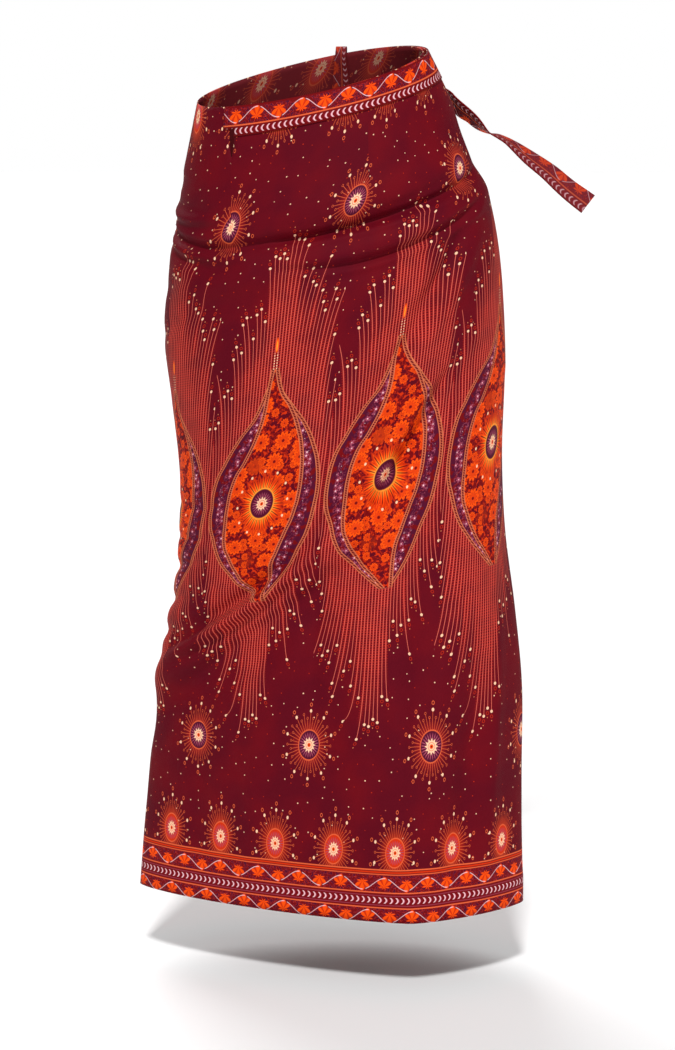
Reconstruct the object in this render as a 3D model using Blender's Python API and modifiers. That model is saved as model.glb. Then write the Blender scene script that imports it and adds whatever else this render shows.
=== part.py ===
"""A wrap sarong as it is worn: one wide cloth wound once round the hips and on under itself,
a border strip sewn along its waist edge, and a knotted tie behind the wearer's left hip.

Metres, +Z up, the front faces -Y and the wearer's left is +X. The origin is the middle of the
waist opening, where the wearer's hips hold the garment up.

The cloth has its own flat coordinates. `across` is the distance along the weave round the body,
0 on a grain line of the front and positive towards the wearer's left. `down` is the distance
along the grain from the waist edge to the hem.
"""

import math

import bmesh
import bpy
import numpy as np

CLOTH_LENGTH = 0.99
WALL = 0.0016
SEAM_GAP = 0.0003

# Where the free outer edge lies, and how far the cloth goes on beneath it.
OUTER_EDGE_WAIST = 0.190
OUTER_EDGE_HEM = 0.340
UNDERLAP_WAIST = 0.380
UNDERLAP_HEM = 0.260
LAYER_STEP = 0.005

# The waistband is a strip of border cloth outside the panel's top edge.
BAND_HEIGHT = 0.034
BAND_WALL = 0.0012
BAND_END_PAST_SLIT = 0.012

# The slit that a tie can pass through, at the top of the right-hand dart.
SLIT_ACROSS = -0.219
SLIT_TOP = 0.025
SLIT_FOOT = 0.057
SLIT_WIDTH = 0.0085
SLIT_FOOT_WIDTH = 0.0012

# Each tie is a folded strip. Its cross-section is a row of points, and its path is sampled evenly.
TIE_WALL = 0.0018
TIE_CELLS = 4
TIE_STEP = 0.003

RING_COLUMNS = (
    "down", "drop", "roll", "pitch", "left", "right",
    "front", "front_x", "back", "back_x", "power", "grain_x", "right_y",
)
# One row for each ring of cloth. drop is the height of its middle, roll and pitch tilt its plane,
# left and right are its ends, front and back its depths at front_x and back_x, power shapes the
# front corners (2 is an ellipse), grain_x is where `across` is 0 and right_y moves the right end
# to the front.
RINGS = (
    (0.000, 0.000, 12.3, 12.0, -0.1425, 0.1310, 0.098, 0.000, 0.098, 0.000, 2.00, 0.107, 0.000),
    (0.060, -0.060, 12.5, 10.0, -0.1560, 0.1580, 0.107, 0.005, 0.110, 0.006, 2.00, 0.110, 0.000),
    (0.120, -0.120, 13.0, 7.0, -0.1705, 0.1760, 0.115, 0.012, 0.122, 0.010, 2.00, 0.112, 0.000),
    (0.180, -0.180, 14.0, 4.0, -0.1775, 0.2020, 0.120, 0.020, 0.130, 0.015, 2.00, 0.113, 0.000),
    (0.250, -0.250, 15.0, 1.0, -0.1840, 0.2165, 0.122, 0.030, 0.132, 0.020, 2.00, 0.107, 0.000),
    (0.330, -0.330, 15.0, 0.0, -0.1755, 0.2240, 0.121, 0.040, 0.124, 0.025, 2.00, 0.099, 0.000),
    (0.420, -0.420, 15.0, 0.0, -0.1665, 0.2270, 0.120, 0.050, 0.116, 0.030, 1.90, 0.089, 0.000),
    (0.500, -0.500, 13.0, 0.0, -0.1680, 0.2270, 0.123, 0.060, 0.111, 0.030, 1.80, 0.079, -0.004),
    (0.580, -0.575, 9.0, 0.0, -0.1740, 0.2320, 0.129, 0.070, 0.109, 0.028, 1.70, 0.073, -0.014),
    (0.660, -0.652, 5.0, 0.0, -0.1870, 0.2430, 0.139, 0.080, 0.110, 0.025, 1.60, 0.068, -0.028),
    (0.740, -0.735, 2.0, 0.0, -0.1970, 0.2510, 0.150, 0.090, 0.113, 0.022, 1.50, 0.064, -0.044),
    (0.830, -0.826, 0.0, 0.0, -0.2050, 0.2500, 0.162, 0.098, 0.117, 0.020, 1.42, 0.059, -0.058),
    (0.910, -0.907, 0.0, 0.0, -0.2130, 0.2490, 0.171, 0.105, 0.121, 0.020, 1.36, 0.055, -0.066),
    (0.990, -0.985, -0.3, 0.0, -0.2190, 0.2490, 0.179, 0.110, 0.124, 0.020, 1.33, 0.051, -0.072),
)

FOLD_COLUMNS = (
    "across_1", "down_1", "across_2", "down_2", "sag", "width", "height",
)
# The largest folds. Each is a line on the cloth between two points, bowed down by sag, with a
# soft ridge (height above 0) or trough (height below 0) of that half width across it.
FOLDS = (
    (0.150, 0.148, -0.340, 0.158, 0.020, 0.014, -0.0070),
    (0.160, 0.172, -0.320, 0.192, 0.020, 0.020, 0.0060),
    (0.130, 0.118, -0.200, 0.130, 0.012, 0.018, 0.0030),
    (0.110, 0.182, -0.190, 0.196, 0.036, 0.011, -0.0045),
    (0.080, 0.190, -0.080, 0.440, 0.010, 0.014, -0.0050),
    (0.100, 0.220, -0.060, 0.460, 0.010, 0.018, 0.0060),
    (0.100, 0.350, -0.070, 0.545, 0.010, 0.022, -0.0090),
    (0.055, 0.420, 0.062, 0.985, 0.000, 0.028, -0.0080),
    (-0.010, 0.520, -0.330, 0.735, 0.004, 0.020, 0.0105),
    (-0.030, 0.470, -0.320, 0.700, 0.018, 0.010, -0.0060),
    (-0.010, 0.590, -0.330, 0.800, -0.012, 0.026, -0.0080),
    (-0.050, 0.570, -0.060, 0.900, 0.000, 0.032, -0.0060),
    (0.100, 0.640, 0.062, 0.900, 0.000, 0.018, 0.0060),
    (0.140, 0.690, 0.112, 0.985, 0.000, 0.018, -0.0070),
    (0.190, 0.400, 0.215, 0.960, 0.000, 0.040, -0.0060),
    (-0.230, 0.545, -0.400, 0.570, 0.000, 0.011, -0.0050),
    (-0.240, 0.600, -0.400, 0.620, 0.000, 0.011, -0.0055),
    (-0.250, 0.650, -0.400, 0.665, 0.000, 0.011, -0.0050),
    (-0.255, 0.090, -0.420, 0.082, 0.000, 0.009, -0.0030),
    (-0.255, 0.118, -0.420, 0.112, 0.000, 0.009, -0.0035),
    (-0.255, 0.146, -0.420, 0.140, 0.000, 0.009, -0.0030),
)

# The outer tie: sewn on the band's end, round the inner tie and back towards the wearer's left.
# Columns: across, down, the distance out from the panel's face, the width, the twist in degrees.
OUTER_TIE_ON_CLOTH = (
    (0.170, 0.017, 0.0042, 0.027, 0),
    (0.184, 0.017, 0.0040, 0.027, 0),
    (0.198, 0.017, 0.0032, 0.025, 0),
    (0.214, 0.017, 0.0002, 0.018, 0),
    (0.234, 0.018, -0.0020, 0.014, 0),
    (0.248, 0.018, -0.0006, 0.013, 0),
    (0.256, 0.018, 0.0026, 0.012, 0),
    (0.249, 0.018, 0.0060, 0.012, 0),
    (0.235, 0.018, 0.0070, 0.013, 0),
    (0.214, 0.020, 0.0076, 0.017, 0),
)
# The inner tie: up from inside the wrap, over the waist edge and down through the outer tie's turn.
# The columns are the same.
INNER_TIE_ON_CLOTH = (
    (0.259, 0.040, -0.0084, 0.022, 0),
    (0.237, 0.020, -0.0088, 0.018, 0),
    (0.219, 0.004, -0.0098, 0.014, 0),
    (0.214, -0.005, -0.0088, 0.013, 0),
    (0.214, -0.0088, -0.0046, 0.013, 0),
    (0.214, -0.006, 0.0000, 0.013, 0),
    (0.219, 0.004, 0.0018, 0.013, 0),
    (0.235, 0.018, 0.0020, 0.013, 0),
    (0.250, 0.032, 0.0016, 0.015, 0),
    (0.269, 0.050, -0.0004, 0.021, 0),
    (0.295, 0.080, -0.0022, 0.026, 0),
    (0.326, 0.120, -0.0020, 0.027, 0),
    (0.364, 0.160, -0.0016, 0.027, 0),
    (0.398, 0.205, -0.0010, 0.027, 0),
)

# The outer tie's free end, past the hip. Columns: x, y, z, the width, the twist in degrees.
OUTER_TIE_FLYING = (
    (0.079, 0.1005, 0.0095, 0.023, -4),
    (0.105, 0.092, 0.003, 0.027, -26),
    (0.129, 0.078, -0.005, 0.027, -64),
    (0.144, 0.066, -0.012, 0.027, -98),
    (0.155, 0.056, -0.019, 0.027, -122),
    (0.162, 0.053, -0.028, 0.027, -128),
    (0.172, 0.050, -0.039, 0.027, -131),
    (0.184, 0.048, -0.048, 0.027, -122),
    (0.196, 0.047, -0.059, 0.027, -112),
    (0.207, 0.046, -0.067, 0.027, -94),
    (0.218, 0.045, -0.071, 0.027, -82),
    (0.231, 0.044, -0.078, 0.027, -75),
    (0.256, 0.041, -0.097, 0.027, -55),
    (0.279, 0.038, -0.114, 0.027, -44),
    (0.302, 0.034, -0.134, 0.027, -33),
    (0.326, 0.030, -0.152, 0.027, -16),
)

RING_SAMPLES = 720
FRONT_STEP = 0.015
FRONT_FROM = -0.300
FRONT_TO = 0.060
SIDE_COLUMNS = 14
BACK_COLUMNS = 26
ROW_STEP = 0.031
TOP_ROWS = (0.0, 0.012, SLIT_TOP, BAND_HEIGHT, 0.045, SLIT_FOOT, 0.075, 0.097)


def smooth(keys, values, at):
    """A smooth curve through a table's values, read at one place."""
    last = len(keys) - 1
    index = min(max(int(np.searchsorted(keys, at)) - 1, 0), last - 1)
    before, after = max(index - 1, 0), min(index + 2, last)
    gap = keys[index + 1] - keys[index]
    start = (values[index + 1] - values[before]) / (keys[index + 1] - keys[before])
    end = (values[after] - values[index]) / (keys[after] - keys[index])
    share = min(max((at - keys[index]) / gap, 0.0), 1.0)
    square, cube = share * share, share ** 3
    return (
        (2 * cube - 3 * square + 1) * values[index]
        + (cube - 2 * square + share) * gap * start
        + (3 * square - 2 * cube) * values[index + 1]
        + (cube - square) * gap * end
    )


def soft_step(share):
    """0 before 0, 1 after 1, and an even curve between."""
    share = min(max(share, 0.0), 1.0)
    return share * share * (3 - 2 * share)


class Ring:
    """One ring of the cloth, at one distance below the waist edge."""

    table = {name: [row[i] for row in RINGS] for i, name in enumerate(RING_COLUMNS)}
    made = {}

    def __init__(self, down):
        for name in RING_COLUMNS[1:]:
            setattr(self, name, smooth(self.table["down"], self.table[name], down))
        turn = np.linspace(0, 2 * math.pi, RING_SAMPLES + 1)
        cosine, sine = np.cos(turn), np.sin(turn)
        in_front = sine >= 0
        bend = 2 / np.where(in_front, self.power, 2.0)
        apex = np.where(in_front, self.front_x, self.back_x)
        depth = np.where(in_front, -self.front, self.back)
        end = np.where(cosine >= 0, self.right, self.left)
        self.x = apex + (end - apex) * np.abs(cosine) ** bend
        end_y = np.where(cosine >= 0, self.right_y, 0.0)
        self.y = end_y + (depth - end_y) * np.abs(sine) ** bend
        steps = np.hypot(np.diff(self.x), np.diff(self.y))
        walked = np.concatenate([[0.0], np.cumsum(steps)])
        self.perimeter = walked[-1]
        half = RING_SAMPLES // 2
        grain = np.interp(-self.grain_x, -self.x[:half], walked[:half])
        self.across = grain - walked
        self.middle = (self.left + self.right) / 2

    def point(self, across):
        """The place on this ring that far across from the grain line, and the outward direction."""
        low, high = self.across[-1], self.across[0]
        wrapped = low + (across - low) % (high - low)
        x, y = self.flat(wrapped)
        ahead, behind = self.flat(wrapped + 0.003), self.flat(wrapped - 0.003)
        along = np.array([ahead[0] - behind[0], ahead[1] - behind[1]])
        along /= np.linalg.norm(along)
        z = self.drop + (x - self.middle) * math.tan(math.radians(self.roll))
        z += y * math.tan(math.radians(self.pitch))
        return np.array([x, y, z]), np.array([along[1], -along[0], 0.0])

    def flat(self, across):
        low, high = self.across[-1], self.across[0]
        wrapped = low + (across - low) % (high - low)
        order = slice(None, None, -1)
        return (
            np.interp(wrapped, self.across[order], self.x[order]),
            np.interp(wrapped, self.across[order], self.y[order]),
        )


def ring_at(down):
    key = round(down, 6)
    if key not in Ring.made:
        Ring.made[key] = Ring(down)
    return Ring.made[key]


def fold_height(across, down):
    """How far the folds move the cloth out at a place on it."""
    total = 0.0
    for row in FOLDS:
        fold = dict(zip(FOLD_COLUMNS, row))
        start = np.array([fold["across_1"], fold["down_1"]])
        run = np.array([fold["across_2"], fold["down_2"]]) - start
        length = math.hypot(*run)
        unit = run / length
        offset = np.array([across, down]) - start
        share = float(offset @ unit) / length
        if not 0 < share < 1:
            continue
        aside = float(offset @ np.array([-unit[1], unit[0]])) * (1 if unit[0] > 0 else -1)
        aside -= fold["sag"] * 4 * share * (1 - share)
        fade = math.sin(math.pi * share) ** 0.6
        total += fold["height"] * fade * math.exp(-((aside / fold["width"]) ** 2))
    return total


def outer_edge(down):
    """Where the wrap's free outer edge lies, as a distance across."""
    return OUTER_EDGE_WAIST + (OUTER_EDGE_HEM - OUTER_EDGE_WAIST) * down / CLOTH_LENGTH


def inner_edge(down):
    """Where the cloth ends under itself, as a distance across."""
    lap = UNDERLAP_WAIST + (UNDERLAP_HEM - UNDERLAP_WAIST) * down / CLOTH_LENGTH
    return outer_edge(down) - ring_at(down).perimeter - lap


def cloth_point(across, down):
    """The cloth's outer face at a place on it."""
    ring = ring_at(down)
    place, outward = ring.point(across)
    on_ring = across
    if across < FRONT_FROM - 0.15:
        on_ring = across + ring.perimeter
    lift = fold_height(across, down) + (fold_height(on_ring, down) if on_ring != across else 0.0)
    back_run = outer_edge(down) - ring.perimeter - FRONT_FROM
    lift -= LAYER_STEP * soft_step((across - FRONT_FROM) / back_run)
    return place + outward * lift


def cloth_normal(across, down):
    """The outward direction of the cloth's face at a place on it."""
    small = 0.004
    low, high = max(down - small, 0.0), min(down + small, CLOTH_LENGTH)
    along = cloth_point(across + small, down) - cloth_point(across - small, down)
    upward = cloth_point(across, low) - cloth_point(across, high)
    normal = np.cross(along, upward)
    return normal / np.linalg.norm(normal)


def panel_rows():
    """The distances down at which the panel has a row of points."""
    rest = CLOTH_LENGTH - TOP_ROWS[-1]
    count = round(rest / ROW_STEP)
    return list(TOP_ROWS) + [TOP_ROWS[-1] + rest * (i + 1) / count for i in range(count)]


def slit_width(down):
    """The slit's width at a height: full at its top, closing to its foot."""
    share = min(max((down - SLIT_TOP) / (SLIT_FOOT - SLIT_TOP), 0.0), 1.0)
    return SLIT_WIDTH + (SLIT_FOOT_WIDTH - SLIT_WIDTH) * share ** 1.5


def panel_columns(down):
    """The distances across at which a row has its points, from the outer edge to the inner one."""
    edge, last = outer_edge(down), inner_edge(down)
    side = [edge + (FRONT_TO - edge) * i / SIDE_COLUMNS for i in range(SIDE_COLUMNS)]
    count = round((FRONT_TO - FRONT_FROM) / FRONT_STEP)
    front = [FRONT_TO - FRONT_STEP * i for i in range(count)]
    half = slit_width(down) / 2
    front = [a for a in front if abs(a - SLIT_ACROSS) > 0.011]
    front += [SLIT_ACROSS + half, SLIT_ACROSS - half, SLIT_ACROSS - BAND_END_PAST_SLIT]
    front += [SLIT_ACROSS + BAND_END_PAST_SLIT]
    back = [FRONT_FROM + (last - FRONT_FROM) * i / BACK_COLUMNS for i in range(BACK_COLUMNS + 1)]
    return side + sorted(front, reverse=True) + back


def grid_object(name, rows, columns_of, place, skip=lambda row, column: False):
    """An open sheet of points in rows and columns, as an object. skip leaves out single faces."""
    mesh = bpy.data.meshes.new(name)
    sheet = bmesh.new()
    points = [[sheet.verts.new(place(a, down)) for a in columns_of(down)] for down in rows]
    for r in range(len(rows) - 1):
        for c in range(len(points[r]) - 1):
            if skip(r, c):
                continue
            corners = (points[r][c], points[r][c + 1], points[r + 1][c + 1], points[r + 1][c])
            sheet.faces.new(corners)
    loose = [v for v in sheet.verts if not v.link_faces]
    bmesh.ops.delete(sheet, geom=loose, context="VERTS")
    sheet.to_mesh(mesh)
    sheet.free()
    return bpy.data.objects.new(name, mesh)


def thicken(obj, wall, offset=-1):
    """Makes an open sheet a closed wall: behind its face, or both sides of it at offset 0."""
    modifier = obj.modifiers.new("wall", "SOLIDIFY")
    modifier.thickness = wall
    modifier.offset = offset
    modifier.use_even_offset = offset != 0
    modifier.use_rim = True


def material(name, colour, roughness):
    made = bpy.data.materials.new(name)
    made.use_nodes = True
    shader = made.node_tree.nodes["Principled BSDF"]
    shader.inputs["Base Color"].default_value = (*colour, 1)
    shader.inputs["Roughness"].default_value = roughness
    shader.inputs["Metallic"].default_value = 0.0
    return made


def slit_column():
    """The number of the panel's column of faces that holds the slit."""
    return panel_columns(SLIT_TOP).index(SLIT_ACROSS + slit_width(SLIT_TOP) / 2)


def wrap_panel():
    """The wide cloth, wound round and on under itself, with the slit cut through."""
    rows = panel_rows()
    column = slit_column()
    top, foot = rows.index(SLIT_TOP), rows.index(SLIT_FOOT)

    def in_slit(r, c):
        return c == column and top <= r < foot

    obj = grid_object("wrap_panel", rows, panel_columns, cloth_point, in_slit)
    thicken(obj, WALL)
    return obj


def waistband():
    """The border strip outside the top edge. Its lower part ends at the slit."""
    rows = [down for down in panel_rows() if down <= BAND_HEIGHT]
    slit = slit_column()
    end = slit + 2

    def columns(down):
        return panel_columns(down)[: end + 1]

    def place(across, down):
        out = SEAM_GAP + BAND_WALL
        return cloth_point(across, down) + cloth_normal(across, down) * out

    def below_slit_top(r, c):
        return r >= rows.index(SLIT_TOP) and c >= slit

    obj = grid_object("waistband", rows, columns, place, below_slit_top)
    thicken(obj, BAND_WALL)
    return obj


def on_cloth(across, down, out):
    """A place that far outside the panel's face. Above the waist edge, down is below 0."""
    below = max(down, 0.0)
    place = cloth_point(across, below) + cloth_normal(across, below) * out
    return place + np.array([0.0, 0.0, below - down])


def ribbon(name, rows):
    """A flat strip along a smooth path. Each row is a place, an upright, a width and a twist."""
    rows = [np.array([*place, *upright, *rest]) for place, upright, *rest in rows]
    steps = [np.linalg.norm(b[:3] - a[:3]) for a, b in zip(rows, rows[1:])]
    keys = [0.0, *np.cumsum(steps)]
    count = round(keys[-1] / TIE_STEP)
    stops = [keys[-1] * n / count for n in range(count + 1)]
    read = np.array([[smooth(keys, column, stop) for column in zip(*rows)] for stop in stops])
    tangents = np.gradient(read[:, :3], axis=0)

    def place(u, n):
        width, turn = read[n, 6:]
        ahead = tangents[n] / np.linalg.norm(tangents[n])
        base = read[n, 3:6] - (read[n, 3:6] @ ahead) * ahead
        base /= np.linalg.norm(base)
        side = np.cross(ahead, base)
        angle = math.radians(turn)
        across = math.cos(angle) * base + math.sin(angle) * side
        return read[n, :3] + across * width * (u - 0.5)

    cells = [i / TIE_CELLS for i in range(TIE_CELLS + 1)]
    obj = grid_object(name, range(count + 1), lambda n: cells, place)
    thicken(obj, TIE_WALL, offset=0)
    return obj


def tie_outer():
    """The tie sewn on the band's end. Its free end flies out past the wearer's left hip."""
    rows = []
    for across, down, out, *rest in OUTER_TIE_ON_CLOTH:
        slope = on_cloth(across, 0.0, 0.0) - on_cloth(across, BAND_HEIGHT, 0.0)
        rows.append((on_cloth(across, down, out), slope / np.linalg.norm(slope), *rest))
    for x, y, z, *rest in OUTER_TIE_FLYING:
        rows.append(((x, y, z), (0.0, 0.0, 1.0), *rest))
    return ribbon("tie_outer", rows)


def tie_inner():
    """The other tie, which comes from the cloth's inner edge and hangs down behind the hip."""
    rows = []
    for across, down, out, *rest in INNER_TIE_ON_CLOTH:
        normal = cloth_normal(across, max(down, 0.0))
        along = np.array([-normal[1], normal[0], 0.0])
        rows.append((on_cloth(across, down, out), along / np.linalg.norm(along), *rest))
    return ribbon("tie_inner", rows)


def clear_scene():
    for obj in list(bpy.data.objects):
        bpy.data.objects.remove(obj)


def main():
    clear_scene()
    sarong = bpy.data.collections.new("sarong")
    bpy.context.scene.collection.children.link(sarong)
    cloth = material("printed_rayon", (0.24, 0.015, 0.025), 0.7)
    border = material("border_cloth", (0.45, 0.06, 0.02), 0.7)
    pieces = (
        (wrap_panel(), cloth),
        (waistband(), border),
        (tie_outer(), border),
        (tie_inner(), border),
    )
    for obj, finish in pieces:
        obj.data.materials.append(finish)
        obj.data.shade_smooth()
        sarong.objects.link(obj)


main()
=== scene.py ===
"""The looks of the wrap sarong: printed cloth with its folds, the border strip and the knotted tie.

The cloth has its own flat coordinates, the same as in the part's source. `across` is the distance
along the weave round the body, 0 on a grain line of the front and positive towards the wearer's
left. `down` is the distance along the grain from the waist edge to the hem. The print is drawn in
millimetres from them, so it bends and folds with the cloth.
"""

import math

import bpy
import numpy as np
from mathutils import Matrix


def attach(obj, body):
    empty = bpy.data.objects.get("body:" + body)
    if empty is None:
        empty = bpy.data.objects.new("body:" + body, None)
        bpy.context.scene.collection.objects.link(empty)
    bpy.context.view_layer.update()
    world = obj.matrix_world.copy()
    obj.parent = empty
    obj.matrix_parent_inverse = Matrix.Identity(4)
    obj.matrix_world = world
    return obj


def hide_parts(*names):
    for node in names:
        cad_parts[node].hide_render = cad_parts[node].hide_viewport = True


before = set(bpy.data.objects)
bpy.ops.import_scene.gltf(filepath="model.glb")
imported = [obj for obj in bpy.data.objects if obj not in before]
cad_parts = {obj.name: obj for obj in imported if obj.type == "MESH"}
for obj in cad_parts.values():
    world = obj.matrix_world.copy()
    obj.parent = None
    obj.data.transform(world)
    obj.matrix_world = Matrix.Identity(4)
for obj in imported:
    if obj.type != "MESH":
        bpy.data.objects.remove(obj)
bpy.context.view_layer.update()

MM = 0.001
CLOTH_LENGTH = 0.99
WALL = 0.0013
SEAM_GAP = 0.0003

# Where the free outer edge lies, how far the cloth goes on beneath it, and how far in it lies there.
OUTER_EDGE_WAIST = 0.190
OUTER_EDGE_HEM = 0.340
UNDERLAP_WAIST = 0.380
UNDERLAP_HEM = 0.260
LAYER_STEP = 0.005

BAND_HEIGHT = 0.034
BAND_WALL = 0.0012
BAND_END_PAST_SLIT = 0.012

SLIT_ACROSS = -0.219
SLIT_TOP = 0.025
SLIT_FOOT = 0.057
SLIT_WIDTH = 0.0085
SLIT_FOOT_WIDTH = 0.0012

TIE_WIDTH = 0.027
TIE_WALL = 0.0016
TIE_CELLS = 12
TIE_STEP = 0.002

RING_COLUMNS = (
    "down", "drop", "roll", "pitch", "left", "right",
    "front", "front_x", "back", "back_x", "power", "grain_x", "right_y",
)
# One row for each ring of cloth. drop is the height of its middle, roll and pitch tilt its plane,
# left and right are its ends, front and back its depths at front_x and back_x, power shapes the
# front corners (2 is an ellipse), grain_x is where `across` is 0 and right_y moves the right end
# to the front.
RINGS = (
    (0.000, 0.000, 12.3, 12.0, -0.1425, 0.1310, 0.098, 0.000, 0.098, 0.000, 2.00, 0.107, 0.000),
    (0.060, -0.060, 12.5, 10.0, -0.1560, 0.1580, 0.107, 0.005, 0.110, 0.006, 2.00, 0.110, 0.000),
    (0.120, -0.120, 13.0, 7.0, -0.1705, 0.1760, 0.115, 0.012, 0.122, 0.010, 2.00, 0.112, 0.000),
    (0.180, -0.180, 14.0, 4.0, -0.1775, 0.2020, 0.120, 0.020, 0.130, 0.015, 2.00, 0.113, 0.000),
    (0.250, -0.250, 15.0, 1.0, -0.1840, 0.2165, 0.122, 0.030, 0.132, 0.020, 2.00, 0.107, 0.000),
    (0.330, -0.330, 15.0, 0.0, -0.1755, 0.2240, 0.121, 0.040, 0.124, 0.025, 2.00, 0.099, 0.000),
    (0.420, -0.420, 15.0, 0.0, -0.1665, 0.2270, 0.120, 0.050, 0.116, 0.030, 1.90, 0.089, 0.000),
    (0.500, -0.500, 13.0, 0.0, -0.1680, 0.2270, 0.123, 0.060, 0.111, 0.030, 1.80, 0.079, -0.004),
    (0.580, -0.575, 9.0, 0.0, -0.1740, 0.2320, 0.129, 0.070, 0.109, 0.028, 1.70, 0.073, -0.014),
    (0.660, -0.652, 5.0, 0.0, -0.1870, 0.2430, 0.139, 0.080, 0.110, 0.025, 1.60, 0.068, -0.028),
    (0.740, -0.735, 2.0, 0.0, -0.1970, 0.2510, 0.150, 0.090, 0.113, 0.022, 1.50, 0.064, -0.044),
    (0.830, -0.826, 0.0, 0.0, -0.2050, 0.2500, 0.162, 0.098, 0.117, 0.020, 1.42, 0.059, -0.058),
    (0.910, -0.907, 0.0, 0.0, -0.2130, 0.2490, 0.171, 0.105, 0.121, 0.020, 1.36, 0.055, -0.066),
    (0.990, -0.985, -0.3, 0.0, -0.2190, 0.2490, 0.179, 0.110, 0.124, 0.020, 1.33, 0.051, -0.072),
)

FOLD_COLUMNS = ("across_1", "down_1", "across_2", "down_2", "sag", "width", "height")
# The folds of the part's source, in millimetres. Each is a line on the cloth between two points,
# bowed down by sag, with a soft ridge (height above 0) or trough (height below 0) across it.
FOLDS = (
    (150, 148, -340, 158, 20, 14, -7),
    (160, 172, -320, 192, 20, 20, 6),
    (130, 118, -200, 130, 12, 18, 3),
    (110, 182, -190, 196, 36, 11, -4.5),
    (80, 190, -80, 440, 10, 14, -5),
    (100, 220, -60, 460, 10, 18, 6),
    (100, 350, -70, 545, 10, 22, -9),
    (55, 420, 62, 985, 0, 28, -8),
    (-10, 520, -330, 735, 4, 20, 10.5),
    (-30, 470, -320, 700, 18, 10, -6),
    (-10, 590, -330, 800, -12, 26, -8),
    (-50, 570, -60, 900, 0, 32, -6),
    (100, 640, 62, 900, 0, 18, 6),
    (140, 690, 112, 985, 0, 18, -7),
    (190, 400, 215, 960, 0, 40, -6),
    (-230, 545, -400, 570, 0, 11, -5),
    (-240, 600, -400, 620, 0, 11, -5.5),
    (-250, 650, -400, 665, 0, 11, -5),
    (-255, 90, -420, 82, 0, 9, -3),
    (-255, 118, -420, 112, 0, 9, -3.5),
    (-255, 146, -420, 140, 0, 9, -3),
)
# Smaller creases between them, in the same columns.
CREASES = (
    (130, 150, -250, 155, 19, 5, -8.5),
    (130, 159, -240, 164, 19, 5, 4.5),
    (105, 184, -170, 198, 25, 5.5, -6.5),
    (110, 195, -160, 209, 25, 5.5, 4),
    (-180, 172, -365, 130, 4, 5, -7),
    (-180, 182, -365, 141, 4, 5, 4.2),
    (-200, 196, -370, 142, 4, 7, -4.5),
    (-225, 140, -380, 120, 2, 5, -4.5),
    (-230, 130, -380, 110, 2, 5, 3),
    (-240, 117, -380, 98, 2, 5, -3.5),
    (-250, 106, -380, 88, 2, 6, -2.5),
    (72, 372, -34, 590, -10, 9.5, -11),
    (56, 366, -50, 572, -10, 9, 6),
    (-20, 515, -300, 710, 6, 11, 4),
    (-45, 536, -295, 708, 15, 7, -10),
    (-60, 522, -295, 692, 15, 8, 5),
    (-70, 545, -78, 760, 0, 16, -6),
    (-30, 490, -290, 680, 14, 7, -4),
    (-30, 560, -290, 765, -6, 13, -5),
    (75, 200, -60, 420, 10, 8, -3.5),
    (60, 140, -150, 152, 14, 6, -1.6),
    (-20, 168, -200, 150, 12, 6, -1.8),
    (-150, 128, -340, 120, 6, 7, -2),
    (-180, 185, -360, 205, -6, 9, -2.6),
    (-200, 225, -370, 262, -8, 10, -2.4),
    (90, 208, -30, 330, 6, 8, -2.2),
    (110, 235, 0, 380, 8, 8, -2),
    (30, 252, -110, 345, 6, 10, 2),
    (60, 410, -40, 560, 6, 8, 2.2),
    (110, 330, 10, 470, 4, 9, 3),
    (0, 560, -210, 690, -4, 8, -2),
    (-100, 560, -290, 655, 8, 7, -2.2),
    (-60, 510, -250, 610, 10, 8, 2),
    (-190, 470, -330, 452, 4, 7, -2),
    (-200, 510, -340, 500, 3, 7, -2.2),
    (-90, 660, -250, 770, -10, 12, -2.4),
    (20, 600, 4, 860, 4, 12, -2.2),
    (85, 560, 100, 760, 4, 10, -2.2),
    (40, 720, 36, 970, 3, 12, 2),
    (-140, 740, -150, 975, 0, 16, 2.6),
    (-215, 720, -225, 975, 0, 15, -2.6),
    (170, 640, 165, 960, 0, 10, 2.8),
    (-400, 150, -800, 172, 22, 13, -5),
    (-420, 178, -780, 205, 22, 16, 4),
    (-460, 215, -720, 240, 16, 11, -3),
    (-440, 330, -560, 440, 10, 16, -5),
    (-760, 300, -600, 470, 10, 18, -5.5),
    (-460, 560, -740, 640, -12, 18, 5.5),
    (-450, 610, -740, 700, -10, 20, -5),
    (-560, 480, -565, 960, 0, 26, -5),
    (-690, 560, -700, 970, 0, 20, 5),
    (-800, 420, -815, 960, 0, 22, -5),
    (-430, 690, -435, 975, 0, 16, 4),
)

# How finely each ring is drawn, and how far apart the mesh's columns and rows are. The front's
# columns and the hip's rows are the closest.
RING_SAMPLES = 720
FRONT_FROM = -0.300
FRONT_TO = 0.060
SIDE_COLUMNS = 46
FRONT_COLUMNS = 92
BACK_COLUMNS = 112
ROW_STEP = 0.0056
HIP_FROM, HIP_TO, HIP_STEP = 0.115, 0.240, 0.0030
LEGS_FROM, LEG_STEP = 0.760, 0.0100

# Steps for measuring directions, along a ring and over the cloth.
RING_REACH = 0.003
CLOTH_REACH = 0.004
# Cloth further than this beyond the front's end also takes the folds one turn on, so that the
# underlap follows the cloth that covers it.
LAPS_AFTER = 0.15
# A place that no fold comes near.
NO_PLACE = 9.0


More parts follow.
